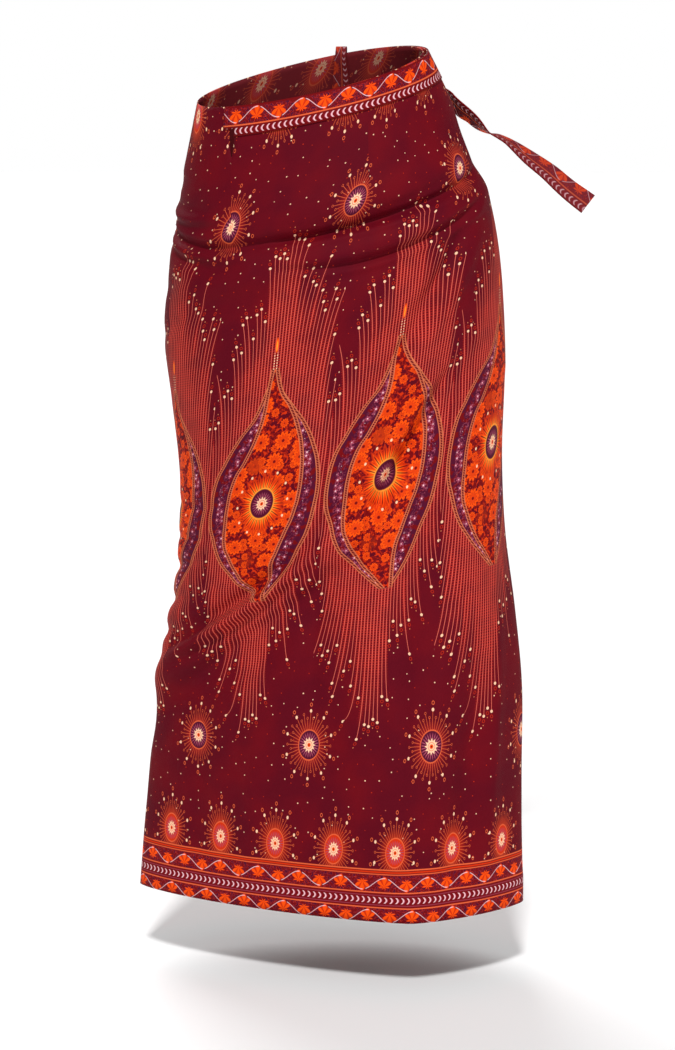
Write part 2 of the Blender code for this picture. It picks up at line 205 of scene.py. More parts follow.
def smooth(keys, values, at):
    """A smooth curve through a table's values, read at one place."""
    last = len(keys) - 1
    index = min(max(int(np.searchsorted(keys, at)) - 1, 0), last - 1)
    before, after = max(index - 1, 0), min(index + 2, last)
    gap = keys[index + 1] - keys[index]
    start = (values[index + 1] - values[before]) / (keys[index + 1] - keys[before])
    end = (values[after] - values[index]) / (keys[after] - keys[index])
    share = min(max((at - keys[index]) / gap, 0.0), 1.0)
    square, cube = share * share, share ** 3
    return (
        (2 * cube - 3 * square + 1) * values[index]
        + (cube - 2 * square + share) * gap * start
        + (3 * square - 2 * cube) * values[index + 1]
        + (cube - square) * gap * end
    )


def soft_step(share):
    """0 before 0, 1 after 1, and an even curve between."""
    share = np.clip(share, 0.0, 1.0)
    return share * share * (3 - 2 * share)


class Ring:
    """One ring of the cloth, at one distance below the waist edge."""

    table = {name: [row[i] for row in RINGS] for i, name in enumerate(RING_COLUMNS)}
    made = {}

    def __init__(self, down):
        for name in RING_COLUMNS[1:]:
            setattr(self, name, smooth(self.table["down"], self.table[name], down))
        turn = np.linspace(0, 2 * math.pi, RING_SAMPLES + 1)
        cosine, sine = np.cos(turn), np.sin(turn)
        in_front = sine >= 0
        bend = 2 / np.where(in_front, self.power, 2.0)
        apex = np.where(in_front, self.front_x, self.back_x)
        depth = np.where(in_front, -self.front, self.back)
        end = np.where(cosine >= 0, self.right, self.left)
        self.x = apex + (end - apex) * np.abs(cosine) ** bend
        end_y = np.where(cosine >= 0, self.right_y, 0.0)
        self.y = end_y + (depth - end_y) * np.abs(sine) ** bend
        steps = np.hypot(np.diff(self.x), np.diff(self.y))
        walked = np.concatenate([[0.0], np.cumsum(steps)])
        self.perimeter = walked[-1]
        half = RING_SAMPLES // 2
        grain = np.interp(-self.grain_x, -self.x[:half], walked[:half])
        self.across = grain - walked
        self.middle = (self.left + self.right) / 2

    def points(self, across):
        """The places on this ring that far across from the grain line, and the outward directions."""
        x, y = self.flat(across)
        ahead, behind = self.flat(across + RING_REACH), self.flat(across - RING_REACH)
        along_x, along_y = ahead[0] - behind[0], ahead[1] - behind[1]
        length = np.hypot(along_x, along_y)
        z = self.drop + (x - self.middle) * math.tan(math.radians(self.roll))
        z = z + y * math.tan(math.radians(self.pitch))
        outward = np.stack([along_y / length, -along_x / length, np.zeros_like(x)], axis=-1)
        return np.stack([x, y, z], axis=-1), outward

    def flat(self, across):
        """Where those places lie as seen from above."""
        low, high = self.across[-1], self.across[0]
        wrapped = low + (across - low) % (high - low)
        return (
            np.interp(wrapped, self.across[::-1], self.x[::-1]),
            np.interp(wrapped, self.across[::-1], self.y[::-1]),
        )


def ring_at(down):
    """The ring of cloth at that distance down, made once and kept."""
    key = round(float(down), 6)
    if key not in Ring.made:
        Ring.made[key] = Ring(key)
    return Ring.made[key]


def fold_height(across, down):
    """How far the folds move the cloth out at places along one row of it."""
    total = np.zeros_like(across)
    for row in FOLDS + CREASES:
        fold = {name: value * MM for name, value in zip(FOLD_COLUMNS, row)}
        run_a, run_d = fold["across_2"] - fold["across_1"], fold["down_2"] - fold["down_1"]
        length = math.hypot(run_a, run_d)
        unit_a, unit_d = run_a / length, run_d / length
        off_a, off_d = across - fold["across_1"], down - fold["down_1"]
        share = (off_a * unit_a + off_d * unit_d) / length
        inside = (share > 0) & (share < 1)
        kept = np.clip(share, 0.0, 1.0)
        aside = (off_d * unit_a - off_a * unit_d) * (1 if unit_a > 0 else -1)
        aside = aside - fold["sag"] * 4 * kept * (1 - kept)
        fade = np.sin(math.pi * kept) ** 0.6
        across_it = np.exp(-((aside / fold["width"]) ** 2))
        total += np.where(inside, fold["height"] * fade * across_it, 0)
    return total


def outer_edge(down):
    """Where the wrap's free outer edge lies, as a distance across."""
    return OUTER_EDGE_WAIST + (OUTER_EDGE_HEM - OUTER_EDGE_WAIST) * down / CLOTH_LENGTH


def inner_edge(down):
    """Where the cloth ends under itself, as a distance across."""
    lap = UNDERLAP_WAIST + (UNDERLAP_HEM - UNDERLAP_WAIST) * down / CLOTH_LENGTH
    return outer_edge(down) - ring_at(down).perimeter - lap


def cloth_points(across, down):
    """The cloth's outer face at places along one row of it."""
    across = np.atleast_1d(np.asarray(across, float))
    ring = ring_at(down)
    places, outward = ring.points(across)
    lift = fold_height(across, down)
    one_turn_on = across + ring.perimeter
    lapped = np.where(across < FRONT_FROM - LAPS_AFTER, one_turn_on, NO_PLACE)
    lift = lift + fold_height(lapped, down)
    back_run = outer_edge(down) - ring.perimeter - FRONT_FROM
    lift = lift - LAYER_STEP * soft_step((across - FRONT_FROM) / back_run)
    return places + outward * lift[:, None]


def cloth_normals(across, down):
    """The outward directions of the cloth's face at places along one row of it."""
    across = np.atleast_1d(np.asarray(across, float))
    low, high = max(down - CLOTH_REACH, 0.0), min(down + CLOTH_REACH, CLOTH_LENGTH)
    along = cloth_points(across + CLOTH_REACH, down) - cloth_points(across - CLOTH_REACH, down)
    upward = cloth_points(across, low) - cloth_points(across, high)
    normals = np.cross(along, upward)
    return normals / np.linalg.norm(normals, axis=1, keepdims=True)


def slit_width(down):
    """The slit's width at a height: full at its top, closing to its foot."""
    share = min(max((down - SLIT_TOP) / (SLIT_FOOT - SLIT_TOP), 0.0), 1.0)
    return SLIT_WIDTH + (SLIT_FOOT_WIDTH - SLIT_WIDTH) * share ** 1.5


def even_stops(stops, step):
    """Evenly spaced values that also pass through each of the stops."""
    out = [stops[0]]
    for start, end in zip(stops, stops[1:]):
        count = max(round(abs(end - start) / step), 1)
        out += [start + (end - start) * (i + 1) / count for i in range(count)]
    return np.array(out)


def panel_rows():
    """The distances down at which the panel has a row of points, closest at the hip's folds."""
    top = even_stops((0.0, SLIT_TOP, BAND_HEIGHT, SLIT_FOOT, HIP_FROM), ROW_STEP)
    hip = even_stops((HIP_FROM, HIP_TO), HIP_STEP)
    middle = even_stops((HIP_TO, LEGS_FROM), ROW_STEP)
    legs = even_stops((LEGS_FROM, CLOTH_LENGTH), LEG_STEP)
    return np.concatenate([top, hip[1:], middle[1:], legs[1:]])


def panel_columns(down):
    """The distances across at which a row has its points, from the outer edge to the inner one."""
    edge, last = outer_edge(down), inner_edge(down)
    half = slit_width(down) / 2
    step = (FRONT_TO - FRONT_FROM) / FRONT_COLUMNS
    band_end = SLIT_ACROSS - BAND_END_PAST_SLIT
    side = np.linspace(edge, FRONT_TO, SIDE_COLUMNS + 1)[:-1]
    before = even_stops((FRONT_TO, DART_ACROSS, SLIT_ACROSS + SLIT_WIDTH / 2), step)[:-1]
    slit = [SLIT_ACROSS + half, SLIT_ACROSS - half]
    to_band_end = np.linspace(SLIT_ACROSS - SLIT_WIDTH / 2, band_end, 4)[1:]
    after = even_stops((band_end, FRONT_FROM), step)[1:]
    back = np.linspace(FRONT_FROM, last, BACK_COLUMNS + 1)[1:]
    return np.concatenate([side, before, slit, to_band_end, after, back])


def slit_column():
    """The number of the panel's column of faces that holds the slit."""
    columns = panel_columns(SLIT_TOP)
    return int(np.argmin(np.abs(columns - (SLIT_ACROSS + slit_width(SLIT_TOP) / 2))))


def grid_object(name, places, flat, skip=None, flat_beyond=None):
    """An open sheet from rows of points, with the print's place at each point in its UV map.
    skip marks single faces to leave out. flat_beyond is the print's place for the faces after
    each column, where the print jumps at a dart."""
    rows, columns = places.shape[:2]
    number = np.arange(rows * columns).reshape(rows, columns)
    corners = [number[:-1, :-1], number[:-1, 1:], number[1:, 1:], number[1:, :-1]]
    quads = np.stack([c.ravel() for c in corners], axis=-1)
    if skip is not None:
        quads = quads[~skip.ravel()]
    used = np.unique(quads)
    renumber = np.zeros(rows * columns, int)
    renumber[used] = np.arange(len(used))
    mesh = bpy.data.meshes.new(name)
    mesh.from_pydata(places.reshape(-1, 3)[used].tolist(), [], renumber[quads].tolist())
    layer = mesh.uv_layers.new(name="cloth")
    beyond = flat if flat_beyond is None else flat_beyond
    before_place, beyond_place = flat.reshape(-1, 2), beyond.reshape(-1, 2)
    near, far = [0, 3], [1, 2]
    corner_places = np.zeros((len(quads), 4, 2), np.float32)
    corner_places[:, near] = beyond_place[quads[:, near]]
    corner_places[:, far] = before_place[quads[:, far]]
    layer.data.foreach_set("uv", corner_places.ravel())
    obj = bpy.data.objects.new(name, mesh)
    bpy.context.scene.collection.objects.link(obj)
    mesh.shade_smooth()
    return obj


def thicken(obj, wall, offset=-1):
    """Makes an open sheet a closed wall: behind its face, or both sides of it at offset 0.
    The inner face takes the second material, which is the cloth's wrong side."""
    modifier = obj.modifiers.new("wall", "SOLIDIFY")
    modifier.thickness = wall
    modifier.offset = offset
    modifier.use_even_offset = False
    modifier.use_rim = True
    modifier.material_offset = 1


# The waist is eased in: (place across, how far the print is moved there), both in millimetres.
WAIST_EASE = ((-219, -6), (-160, -2.5), (-82, -5.5), (-32, -5.5), (21, 16.5), (100, 25))
# Two darts take cloth in at the waist, one of them above the slit's foot. The print jumps at each.
DART_ACROSS = -0.055
DART_TAKES = 25.0
SLIT_DART_TAKES = 22.0
DART_FOOT = 0.170
WAIST_LEVEL = 0.040


def print_across(across, down, past_dart, past_slit):
    """Where the print is at places across, in millimetres. The last two say which places are on
    the far side of each dart."""
    keys, moves = zip(*WAIST_EASE)
    moved = np.interp(across / MM, keys, moves)
    moved = moved - DART_TAKES * past_dart - SLIT_DART_TAKES * past_slit
    share = 1 - soft_step((down - WAIST_LEVEL) / (DART_FOOT - WAIST_LEVEL))
    return across / MM + moved * share


def wrap_panel():
    """The wide cloth, wound round and on under itself, with the slit cut through."""
    rows = panel_rows()
    columns = np.array([panel_columns(down) for down in rows])
    places = np.array([cloth_points(line, down) for line, down in zip(columns, rows)])
    height = np.broadcast_to((CLOTH_LENGTH - rows[:, None]) / MM, columns.shape)
    number = np.arange(columns.shape[1])
    dart = int(np.argmin(np.abs(columns[0] - DART_ACROSS)))
    far_side = slit_column() + 1
    past = ((number > dart, number > far_side), (number >= dart, number >= far_side))
    flat, flat_beyond = (
        np.stack([print_across(columns, rows[:, None], *sides), height], axis=-1)
        for sides in past
    )
    top = int(np.argmin(np.abs(rows - SLIT_TOP)))
    foot = int(np.argmin(np.abs(rows - SLIT_FOOT)))
    skip = np.zeros((len(rows) - 1, columns.shape[1] - 1), bool)
    skip[top:foot, slit_column()] = True
    obj = grid_object("sarong_cloth", places, flat, skip, flat_beyond)
    thicken(obj, WALL)
    return obj


def waistband():
    """The border strip outside the top edge. Its lower part ends at the slit."""
    rows = panel_rows()
    rows = rows[rows <= BAND_HEIGHT + 1e-6]
    slit = slit_column()
    columns = np.array([panel_columns(down)[: slit + 5] for down in rows])
    out = SEAM_GAP + BAND_WALL
    places = np.array(
        [
            cloth_points(line, down) + cloth_normals(line, down) * out
            for line, down in zip(columns, rows)
        ]
    )
    up_the_band = np.broadcast_to((BAND_HEIGHT - rows[:, None]) / MM, columns.shape)
    flat = np.stack([columns / MM, up_the_band], axis=-1)
    skip = np.zeros((len(rows) - 1, columns.shape[1] - 1), bool)
    skip[int(np.argmin(np.abs(rows - SLIT_TOP))):, slit:] = True
    obj = grid_object("waist_border", places, flat, skip)
    thicken(obj, BAND_WALL)
    return obj


# The ties' paths where they lie on the cloth. The columns are across, down, the distance out from
# the panel's face, the tie's width there and its twist in degrees.
# The outer tie: sewn on the band's end, round the inner tie and back towards the wearer's left.
OUTER_TIE_ON_CLOTH = (
    (0.170, 0.017, 0.0042, 0.027, 0),
    (0.184, 0.017, 0.0040, 0.027, 0),
    (0.198, 0.017, 0.0032, 0.025, 0),
    (0.214, 0.017, 0.0002, 0.018, 0),
    (0.234, 0.018, -0.0020, 0.014, 0),
    (0.248, 0.018, -0.0006, 0.013, 0),
    (0.256, 0.018, 0.0026, 0.012, 0),
    (0.249, 0.018, 0.0060, 0.012, 0),
    (0.235, 0.018, 0.0070, 0.013, 0),
    (0.214, 0.020, 0.0076, 0.017, 0),
)
# The inner tie: up from inside the wrap, over the waist edge and down through the outer tie's turn.
INNER_TIE_ON_CLOTH = (
    (0.259, 0.040, -0.0084, 0.022, 0),
    (0.237, 0.020, -0.0088, 0.018, 0),
    (0.219, 0.004, -0.0098, 0.014, 0),
    (0.214, -0.005, -0.0088, 0.013, 0),
    (0.214, -0.0088, -0.0046, 0.013, 0),
    (0.214, -0.006, 0.0000, 0.013, 0),
    (0.219, 0.004, 0.0018, 0.013, 0),
    (0.235, 0.018, 0.0020, 0.013, 0),
    (0.250, 0.032, 0.0016, 0.015, 0),
    (0.269, 0.050, -0.0004, 0.021, 0),
    (0.295, 0.080, -0.0022, 0.026, 0),
    (0.326, 0.120, -0.0020, 0.027, 0),
    (0.364, 0.160, -0.0016, 0.027, 0),
    (0.398, 0.205, -0.0010, 0.027, 0),
)

# The outer tie's free end, past the hip. The columns are x, y, z, width and twist.
OUTER_TIE_FLYING = (
    (0.079, 0.1005, 0.0095, 0.023, -4),
    (0.105, 0.092, 0.003, 0.027, -26),
    (0.129, 0.078, -0.005, 0.027, -64),
    (0.144, 0.066, -0.012, 0.027, -98),
    (0.155, 0.056, -0.019, 0.027, -122),
    (0.162, 0.053, -0.028, 0.027, -128),
    (0.172, 0.050, -0.039, 0.027, -131),
    (0.184, 0.048, -0.048, 0.027, -122),
    (0.196, 0.047, -0.059, 0.027, -112),
    (0.207, 0.046, -0.067, 0.027, -94),
    (0.218, 0.045, -0.071, 0.027, -82),
    (0.231, 0.044, -0.078, 0.027, -75),
    (0.256, 0.041, -0.097, 0.027, -55),
    (0.279, 0.038, -0.114, 0.027, -44),
    (0.302, 0.034, -0.134, 0.027, -33),
    (0.326, 0.030, -0.152, 0.027, -16),
)


def on_cloth(across, down, out):
    """A place that far outside the panel's face. Above the waist edge, down is below 0."""
    below = max(down, 0.0)
    place = cloth_points(across, below)[0] + cloth_normals(across, below)[0] * out
    return place + np.array([0.0, 0.0, below - down])


def ribbon(name, rows, flat_width):
    """A flat strip along a smooth path. Each row is a place, an upright, a width and a twist.
    flat_width is the strip's own width, which the print keeps where the strip is gathered."""
    rows = [np.array([*place, *upright, *rest]) for place, upright, *rest in rows]
    steps = [np.linalg.norm(b[:3] - a[:3]) for a, b in zip(rows, rows[1:])]
    keys = [0.0, *np.cumsum(steps)]
    count = round(keys[-1] / TIE_STEP)
    stops = [keys[-1] * n / count for n in range(count + 1)]
    read = np.array([[smooth(keys, column, stop) for column in zip(*rows)] for stop in stops])
    ahead = np.gradient(read[:, :3], axis=0)
    ahead /= np.linalg.norm(ahead, axis=1, keepdims=True)
    base = read[:, 3:6] - np.sum(read[:, 3:6] * ahead, axis=1, keepdims=True) * ahead
    base /= np.linalg.norm(base, axis=1, keepdims=True)
    side = np.cross(ahead, base)
    angle = np.radians(read[:, 7:8])
    across = np.cos(angle) * base + np.sin(angle) * side
    shares = np.linspace(0, 1, TIE_CELLS + 1)
    offset = across[:, None, :] * read[:, 6][:, None, None] * (shares - 0.5)[None, :, None]
    places = read[:, None, :3] + offset
    along = np.broadcast_to(np.array(stops)[:, None] / MM, (count + 1, TIE_CELLS + 1))
    over = np.broadcast_to(shares[None, :] * flat_width / MM, along.shape)
    obj = grid_object(name, places, np.stack([along, over], axis=-1))
    thicken(obj, TIE_WALL, offset=0)
    return obj, keys[-1]


def tie_outer():
    """The tie sewn on the band's end. Its free end flies out past the wearer's left hip."""
    rows = []
    for across, down, out, *rest in OUTER_TIE_ON_CLOTH:
        slope = on_cloth(across, 0.0, 0.0) - on_cloth(across, BAND_HEIGHT, 0.0)
        rows.append((on_cloth(across, down, out), slope / np.linalg.norm(slope), *rest))
    for x, y, z, *rest in OUTER_TIE_FLYING:
        rows.append(((x, y, z), (0.0, 0.0, 1.0), *rest))
    return ribbon("outer_tie", rows, TIE_WIDTH)


def tie_inner():
    """The other tie, which comes from the cloth's inner edge and hangs down behind the hip."""
    rows = []
    for across, down, out, *rest in INNER_TIE_ON_CLOTH:
        normal = cloth_normals(across, max(down, 0.0))[0]
        along = np.array([-normal[1], normal[0], 0.0])
        rows.append((on_cloth(across, down, out), along / np.linalg.norm(along), *rest))
    return ribbon("inner_tie", rows, TIE_WIDTH)


class Term:
    """A number that changes over the cloth. Arithmetic on it adds nodes to its material."""

    def __init__(self, socket):
        self.socket = socket

    def __add__(self, other):
        return maths("ADD", self, other)

    __radd__ = __add__

    def __sub__(self, other):
        return maths("SUBTRACT", self, other)

    def __rsub__(self, other):
        return maths("SUBTRACT", other, self)

    def __mul__(self, other):
        return maths("MULTIPLY", self, other)

    __rmul__ = __mul__

    def __truediv__(self, other):
        return maths("DIVIDE", self, other)


def connect(tree, value, socket):
    """Puts a number or a term into a node's socket."""
    if isinstance(value, Term):
        tree.links.new(value.socket, socket)
    else:
        socket.default_value = value


def tree_of(*values):
    """The material's node tree that the terms among some values belong to."""
    return next(v.socket.id_data for v in values if isinstance(v, Term))


def maths(operation, *values):
    """One arithmetic node on numbers and terms."""
    tree = tree_of(*values)
    node = tree.nodes.new("ShaderNodeMath")
    node.operation = operation
    for value, socket in zip(values, node.inputs):
        connect(tree, value, socket)
    return Term(node.outputs[0])


def size_of(value):
    """A value without its sign."""
    return maths("ABSOLUTE", value)


def smaller(a, b):
    return maths("MINIMUM", a, b)


def repeat(value, period):
    """Where a value lies in its repeat, from 0 to the period."""
    return maths("FLOORED_MODULO", value, period)


def ramp(value, low, high):
    """0 at low and 1 at high, straight between and level outside. low may be the higher one."""
    tree = tree_of(value)
    node = tree.nodes.new("ShaderNodeMapRange")
    connect(tree, value, node.inputs["Value"])
    connect(tree, low, node.inputs["From Min"])
    connect(tree, high, node.inputs["From Max"])
    return Term(node.outputs["Result"])


# How soft a printed edge is, in millimetres to each side.
EDGE = 0.22


def under(value, limit, soft=EDGE):
    """1 below the limit and 0 above it, with a soft edge."""
    return ramp(value - limit, soft, -soft)


def line(value, centre, half, soft=EDGE):
    """1 on a line of that half width."""
    return under(size_of(value - centre), half, soft)


def joined(x, y):
    """Two values as one vector."""
    tree = tree_of(x, y)
    node = tree.nodes.new("ShaderNodeCombineXYZ")
    for value, socket in zip((x, y), node.inputs):
        connect(tree, value, socket)
    return node.outputs[0]


def distance(x, y):
    """How far a place is from the centre of a motif."""
    tree = tree_of(x, y)
    node = tree.nodes.new("ShaderNodeVectorMath")
    node.operation = "LENGTH"
    tree.links.new(joined(x, y), node.inputs[0])
    return Term(node.outputs["Value"])


def chance(x, y):
    """A number from 0 to 1 that differs from one pair of whole numbers to the next."""
    tree = tree_of(x, y)
    node = tree.nodes.new("ShaderNodeTexWhiteNoise")
    node.noise_dimensions = "2D"
    tree.links.new(joined(x, y), node.inputs["Vector"])
    return Term(node.outputs["Value"])


def curve(value, points):
    """A smooth line through (value, result) points, read at a value."""
    tree = tree_of(value)
    low, high = points[0][0], points[-1][0]
    results = [result for _, result in points]
    base, span = min(results), max(results) - min(results)
    node = tree.nodes.new("ShaderNodeFloatCurve")
    tree.links.new(ramp(value, low, high).socket, node.inputs["Value"])
    line_points = node.mapping.curves[0].points
    for n, (at, result) in enumerate(points):
        place = ((at - low) / (high - low), (result - base) / span)
        if n < 2:
            line_points[n].location = place
        else:
            line_points.new(*place)
    node.mapping.update()
    return maths("MULTIPLY_ADD", Term(node.outputs[0]), span, base)


def cells(x, y, size, spread):
    """A field of scattered motifs, about one for each cell of that size. Returns the distance and
    angle from the nearest one's centre, and a number from 0 to 1 that is that motif's own."""
    tree = tree_of(x, y)
    node = tree.nodes.new("ShaderNodeTexVoronoi")
    node.voronoi_dimensions = "2D"
    node.inputs["Scale"].default_value = 1 / size
    node.inputs["Randomness"].default_value = spread
    tree.links.new(joined(x, y), node.inputs["Vector"])
    centre = tree.nodes.new("ShaderNodeSeparateXYZ")
    tree.links.new(node.outputs["Position"], centre.inputs[0])
    own = tree.nodes.new("ShaderNodeSeparateColor")
    tree.links.new(node.outputs["Color"], own.inputs[0])
    angle = maths("ARCTAN2", y - Term(centre.outputs[1]), x - Term(centre.outputs[0]))
    return Term(node.outputs["Distance"]) * size, angle, Term(own.outputs[0])


def cloudy(x, y, size, detail=2.0):
    """Soft uneven blotches, from 0 to 1."""
    tree = tree_of(x, y)
    node = tree.nodes.new("ShaderNodeTexNoise")
    node.noise_dimensions = "2D"
    node.inputs["Scale"].default_value = 1 / size
    node.inputs["Detail"].default_value = detail
    tree.links.new(joined(x, y), node.inputs["Vector"])
    return Term(node.outputs[0])


def linear(red, green, blue):
    """A colour of the printed cloth, from 0 to 255 as a screen shows it, as the light it returns."""
    channels = [c / 255 for c in (red, green, blue)]
    return [c / 12.92 if c <= 0.04045 else ((c + 0.055) / 1.055) ** 2.4 for c in channels] + [1.0]


WINE = linear(92, 6, 24)
WINE_WARM = linear(108, 8, 22)
PLUM = linear(82, 14, 42)
LILAC = linear(168, 74, 98)
FILAMENT = linear(226, 96, 56)
STRAND_RED = linear(238, 112, 92)
PLUME_RED = linear(172, 36, 32)
BEAD = linear(88, 6, 20)
ORANGE = linear(248, 80, 10)
DEEP_ORANGE = linear(205, 48, 12)
DARK_RED = linear(116, 10, 16)
AMBER = linear(250, 150, 50)
TAN = linear(222, 128, 84)
CORD = linear(190, 88, 62)
CREAM = linear(252, 202, 164)
PINK_WHITE = linear(240, 190, 196)


class Paint:
    """The colour built up so far. Each layer goes over the ones before it."""

    def __init__(self, tree, ground):
        self.tree = tree
        self.colour = ground

    def over(self, mask, colour):
        mix = self.tree.nodes.new("ShaderNodeMix")
        mix.data_type = "RGBA"
        connect(self.tree, mask, mix.inputs[0])
        for value, socket in ((self.colour, mix.inputs[6]), (colour, mix.inputs[7])):
            if isinstance(value, bpy.types.NodeSocket):
                self.tree.links.new(value, socket)
            else:
                socket.default_value = value
        self.colour = mix.outputs[2]


# The print repeats every 150 mm round the body. Heights are from the hem edge, and the feathers
# stand above and below the middle of their almond shapes.
REPEAT = 150.0
MIDDLE = 527.0

# The almond shape's two outlines, outside and inside its border: height from the middle, then
# the left and right side of each.
ALMOND = (
    (142, 0, 0, 0, 1),
    (120, -9, 11, -3, 7),
    (95, -20, 29, -6, 22),
    (70, -41, 47, -13, 33),
    (45, -58, 59, -25, 40),
    (20, -70, 67, -39, 43),
    (-5, -73, 70, -44, 43),
    (-30, -72, 68, -45, 39),
    (-55, -65, 63, -45, 30),
    (-80, -56, 52, -37, 21),
    (-105, -39, 41, -24, 14),
    (-128, -17, 27, -5, 13),
    (-148, 6, 11, 12, 13),
)

# How far each feather reaches from the middle, by the distance from its axis. Its long side and
# its short side stand in steps, and change sides below the middle.
FEATHER = (
    (-76, 96), (-68, 122), (-62, 134), (-55, 146), (-50, 152), (-42, 168), (-37, 196), (-30, 204),
    (-22, 212), (-17, 226), (-14, 256), (-8, 284), (0, 297), (8, 294), (14, 286), (19, 262),
    (28, 254), (37, 246), (42, 226), (52, 217), (57, 206), (60, 152), (66, 132), (76, 104),
)
# The strands' pitch, the heights between which they bend outward, how far they do at the upper
# one, and the distance from the axis at which they bend fully.
STRAND = 3.7
BEND_FROM, BEND_TO = 190, 450
BEND_OUT = 42
BEND_FULL = 34


def straightened(x, tall):
    """Where the strand at a place stands lower down, before it bends out towards its end."""
    bend = ramp(tall + size_of(x) * 2.2 - x * 0.3, BEND_FROM, BEND_TO)
    outward = ramp(x, -BEND_FULL, BEND_FULL) * 2 - 1
    return x - outward * bend * bend * BEND_OUT


def feathers(paint, x, height):
    """Fine upright strands between rows of beads, each bending out to a dot at its end. Returns
    1 well outside the feathers and 0 on them."""
    side = maths("SIGN", height)
    turned, tall = x * side, size_of(height)
    straight = straightened(turned, tall)
    apart = straightened(turned + 0.5, tall) - straightened(turned - 0.5, tall)
    strand = maths("FLOOR", straight / STRAND)
    middle = (strand + 0.5) * STRAND
    top = curve(middle, FEATHER) + chance(strand, side) * 58 - 34
    aside = (straight - middle) / apart
    left = top - tall
    fill = ramp(left, 14, 62) * ramp(cloudy(x, height, 26), 0.0, 0.6)
    paint.over(fill, PLUME_RED)
    beads = distance(STRAND / 2 - size_of(straight - middle), repeat(tall, 2.8) - 1.4)
    paint.over(under(beads, 1.0) * ramp(left, 4, 40), BEAD)
    paint.over(under(size_of(aside), 0.27) * ramp(left, 0, 1), STRAND_RED)
    paint.over(under(distance(aside, left), 1.6), CREAM)
    paint.over(line(distance(aside, left + 5.4), 1.6, 0.24), DEEP_ORANGE)
    paint.over(under(distance(aside, left + 10), 0.6), TAN)
    return under(left, -12.0)


def sun(paint, x, y, core, rays, reach, core_colour, glow):
    """An oval rosette: a flower in an oval, with looped rays round it that end in dots and rings."""
    wide, tall = core
    mean = (wide + tall) / 2
    far = distance(x / wide, y / tall)
    turn = maths("ARCTAN2", x / wide, y / tall) * (rays / (2 * math.pi))
    ray = maths("ROUND", turn)
    pitch = 2 * math.pi * mean / rays
    aside = (turn - ray) * far * pitch
    rank = maths("PINGPONG", ray, 2.0)
    long_ray = size_of(rank - 1)
    end = reach * (0.74 + 0.17 * long_ray) + rank * -0.07 + 0.07
    beyond = (far - end) * mean
    paint.over(ramp(far, reach * 0.72, 1.0) * 0.55, glow)
    paint.over(under(size_of(aside), 0.22) * under(beyond, 0.0), FILAMENT)
    paint.over(line(distance(aside, beyond - 1.0), 1.1, 0.2), FILAMENT)
    dotted = under(rank, 0.5) * ramp(far, 1.2, 1.3)
    paint.over(under(distance(aside, beyond - 1), 1.65) * dotted, CREAM)
    paint.over(line(distance(aside, beyond - 7.2), 1.6, 0.35) * dotted, FILAMENT)
    paint.over(under(far, 1.1, 0.03), FILAMENT)
    paint.over(under(far, 1.02, 0.03), core_colour)
    flower(paint, x, y, wide * 0.62, tall * 0.54)


def flower(paint, x, y, wide, tall):
    """A small cream flower with twelve narrow petals, a dark ring and fine lilac rays."""
    angle = maths("ARCTAN2", y / tall, x / wide)
    far = distance(x / wide, y / tall)
    paint.over(under(far, 1.5, 0.2) * ramp(maths("SINE", angle * 24), 0.0, 0.6), LILAC)
    petal = far + 0.34 * size_of(maths("SINE", angle * 6))
    paint.over(under(petal, 1.05, 0.06), CREAM)
    paint.over(line(far, 0.5, 0.03, 0.05) * under(petal, 0.9, 0.06), DEEP_ORANGE)
    paint.over(under(far, 0.28, 0.05), ORANGE)
    paint.over(under(far, 0.12, 0.05), DARK_RED)


def blossoms(paint, x, y, inside):
    """The almond's filling: orange marigolds and small leaves on dark red."""
    paint.over(inside, DARK_RED)
    leaf = cloudy(x, y, 7.0, 1.5)
    paint.over(inside * ramp(leaf, 0.56, 0.58), WINE)
    paint.over(inside * line(leaf, 0.49, 0.008, 0.012), DEEP_ORANGE)
    paint.over(inside * ramp(cloudy(x + 300, y, 4.2, 1.5), 0.57, 0.6), DEEP_ORANGE)
    for place, size, share, reach in ((0, 12.5, 0.45, 3.6), (500, 24.0, 0.3, 7.4)):
        far, angle, own = cells(x + place, y, size, 0.8)
        petal = size_of(maths("SINE", angle * 5.5 + own * 6))
        blooming = inside * under(share - own, 0.0, 0.01)
        rim = far - petal * reach * 0.45
        paint.over(blooming * under(rim, reach + 0.5, 0.3), DARK_RED)
        paint.over(blooming * under(rim, reach, 0.3), ORANGE)
        paint.over(blooming * line(rim, reach * 0.5, 0.25), DARK_RED)
        paint.over(blooming * under(rim, reach * 0.5, 0.3) * 0.6, DEEP_ORANGE)
        paint.over(blooming * under(far, reach * 0.24, 0.4), DARK_RED)


def scroll(paint, x, y, inside, offset):
    """The almond's border: a garland of pink and lilac flowers on plum. offset is the distance
    from the garland's middle."""
    paint.over(inside, PLUM)
    garland = under(size_of(offset), 9.0, 3.0) * inside
    paint.over(inside * ramp(cloudy(x, y, 7.0, 1.0), 0.52, 0.6), DARK_RED)
    paint.over(garland * line(cloudy(x, y, 4.0, 1.0), 0.5, 0.02, 0.02) * 0.8, LILAC)
    far, angle, own = cells(x, y, 7.2, 0.9)
    petals = far - maths("COSINE", angle * 5 + own * 6) * 0.9
    paint.over(garland * under(petals, 2.6) * under(0.3 - own, 0.0, 0.01) * 0.9, LILAC)
    paint.over(garland * under(far, 0.9 * own + 0.2), PINK_WHITE)


# The width of the beaded cord along the almond's outlines.
ROPE = 4.0


